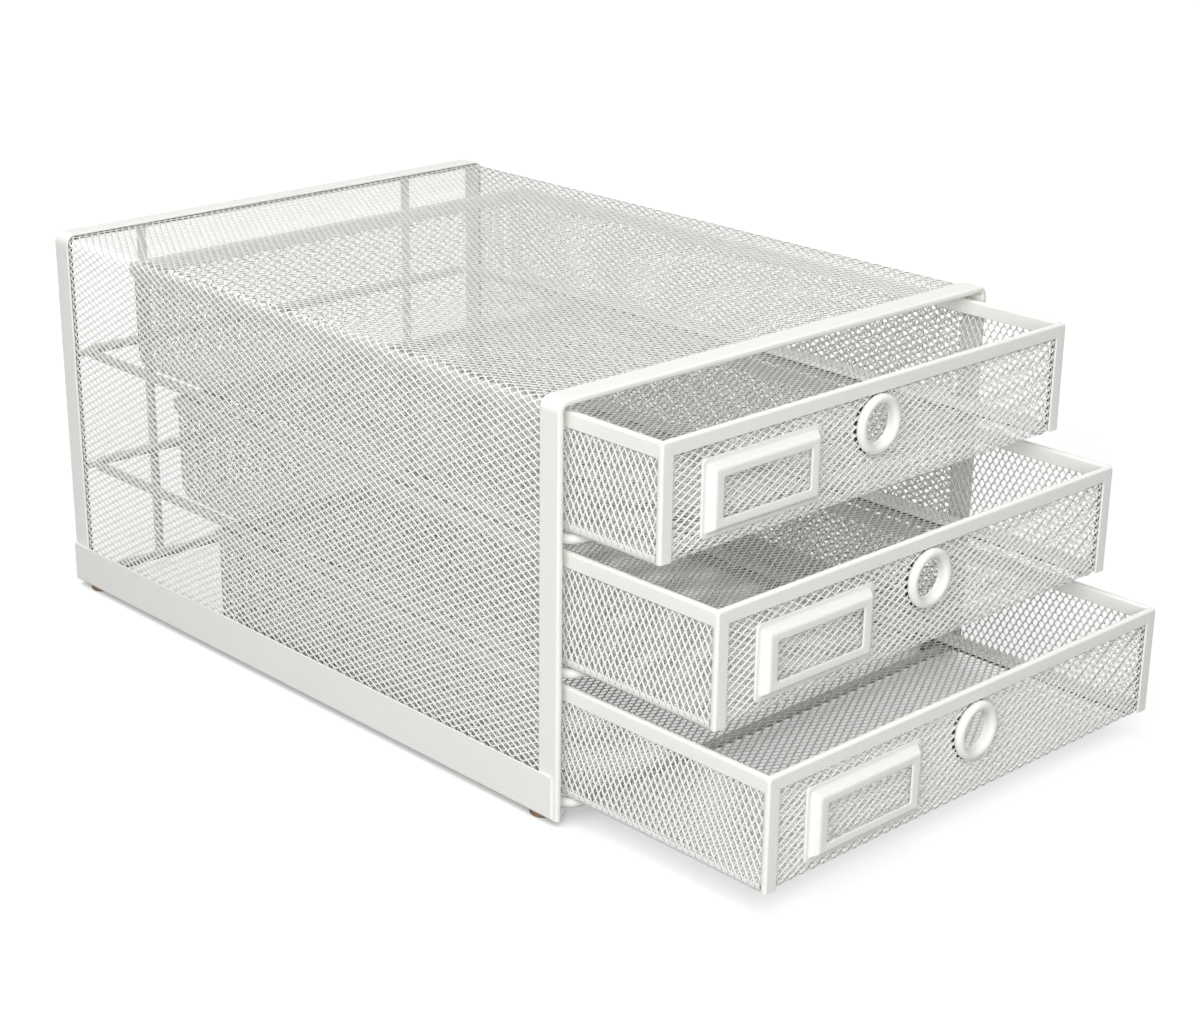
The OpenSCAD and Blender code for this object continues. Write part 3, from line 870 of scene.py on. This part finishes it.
def ground():
    """White ground. Part of its white is glow that only the camera sees, darkened near the object
    as painted shade.
    """
    mesh = bpy.data.meshes.new("floor")
    s = GROUND_HALF
    mesh.from_pydata([(-s, -s, 0), (s, -s, 0), (s, s, 0), (-s, s, 0)], [], [(0, 1, 2, 3)])
    floor = bpy.data.objects.new("floor", mesh)
    bpy.context.scene.collection.objects.link(floor)
    material, nodes, links, shader, where = new_material("floor", GROUND_COLOR, 1.0)
    shader.inputs["Specular IOR Level"].default_value = 0.0
    away = nodes.new("ShaderNodeVectorMath")
    away.operation = "LENGTH"
    links.new(where, away.inputs[0])
    fade = mapped(nodes, links, away.outputs["Value"], FADE_RANGE, GROUND_GLOW)
    seen = nodes.new("ShaderNodeLightPath").outputs["Is Camera Ray"]
    lift = combined(nodes, links, "MULTIPLY", seen, fade)
    # painted shade: the glow is darker where the object hides the surroundings
    hidden = nodes.new("ShaderNodeAmbientOcclusion")
    hidden.inputs["Distance"].default_value = SHADE_REACH
    painted_shade = mapped(nodes, links, hidden.outputs["AO"], SHADE_RANGE, SHADE_GLOW)
    glow = nodes.new("ShaderNodeEmission")
    links.new(combined(nodes, links, "MULTIPLY", lift, painted_shade), glow.inputs["Strength"])
    both = nodes.new("ShaderNodeAddShader")
    links.new(shader.outputs[0], both.inputs[0])
    links.new(glow.outputs[0], both.inputs[1])
    links.new(both.outputs[0], nodes["Material Output"].inputs["Surface"])
    mesh.materials.append(material)


def world():
    """A weak even light, which rays from the camera or off a surface see as plain white."""
    made = bpy.data.worlds.new("studio")
    bpy.context.scene.world = made
    made.use_nodes = True
    nodes, links = made.node_tree.nodes, made.node_tree.links
    light, seen = nodes["Background"], nodes.new("ShaderNodeBackground")
    for node, strength in ((light, WORLD_LIGHT), (seen, 1.0)):
        node.inputs["Color"].default_value = (1, 1, 1, 1)
        node.inputs["Strength"].default_value = strength
    path = nodes.new("ShaderNodeLightPath").outputs
    most = combined(nodes, links, "MAXIMUM", path["Is Camera Ray"], path["Is Glossy Ray"])
    most = combined(nodes, links, "MAXIMUM", most, path["Is Transmission Ray"])
    mix = nodes.new("ShaderNodeMixShader")
    links.new(most, mix.inputs[0])
    links.new(light.outputs[0], mix.inputs[1])
    links.new(seen.outputs[0], mix.inputs[2])
    links.new(mix.outputs[0], nodes["World Output"].inputs["Surface"])


def lamp(name, place, target, size, power):
    data = bpy.data.lights.new(name, "AREA")
    data.shape = "SQUARE"
    data.size = size
    data.energy = power
    made = bpy.data.objects.new(name, data)
    bpy.context.scene.collection.objects.link(made)
    made.location = place
    aim = Vector(target) - Vector(place)
    made.rotation_euler = aim.to_track_quat("-Z", "Y").to_euler()


def camera():
    """Camera solved from the casing's corners. Angles are in radians, focal length in pixels."""
    azimuth, elevation, roll = 0.7622, 0.3772, 0.0124
    offset = np.array([-0.1668, -0.0852, 4.5109])       # along its axes, in casing widths
    casing_w = 260 * MM
    focal, middle = 2399.1, (594.85, 567.90)
    image_w, image_h = 1200, 1021
    right = np.array([math.cos(azimuth), -math.sin(azimuth), 0])
    ahead = np.array([math.sin(azimuth) * math.cos(elevation),
                      math.cos(azimuth) * math.cos(elevation), -math.sin(elevation)])
    up = np.cross(right, ahead)
    turned_right = math.cos(roll) * right + math.sin(roll) * up
    turned_up = -math.sin(roll) * right + math.cos(roll) * up
    casing_middle = np.array([0, (Casing.front + Casing.rear) / 2, Casing.bottom]) * MM
    place = casing_middle - casing_w * (offset @ np.array([turned_right, turned_up, ahead]))
    data = bpy.data.cameras.new("camera")
    data.sensor_fit = "HORIZONTAL"
    data.sensor_width = 36
    data.lens = focal * data.sensor_width / image_w
    data.shift_x = (image_w / 2 - middle[0]) / image_w
    data.shift_y = (middle[1] - image_h / 2) / image_w
    data.clip_end = 50
    made = bpy.data.objects.new("camera", data)
    bpy.context.scene.collection.objects.link(made)
    axes = np.stack([turned_right, turned_up, -ahead], 1)
    made.matrix_world = Matrix.Translation(place) @ Matrix(axes.tolist()).to_4x4()
    bpy.context.scene.camera = made


ground()
world()
for row in LAMPS:
    lamp(*row)
camera()
bpy.context.scene.view_settings.view_transform = "Standard"
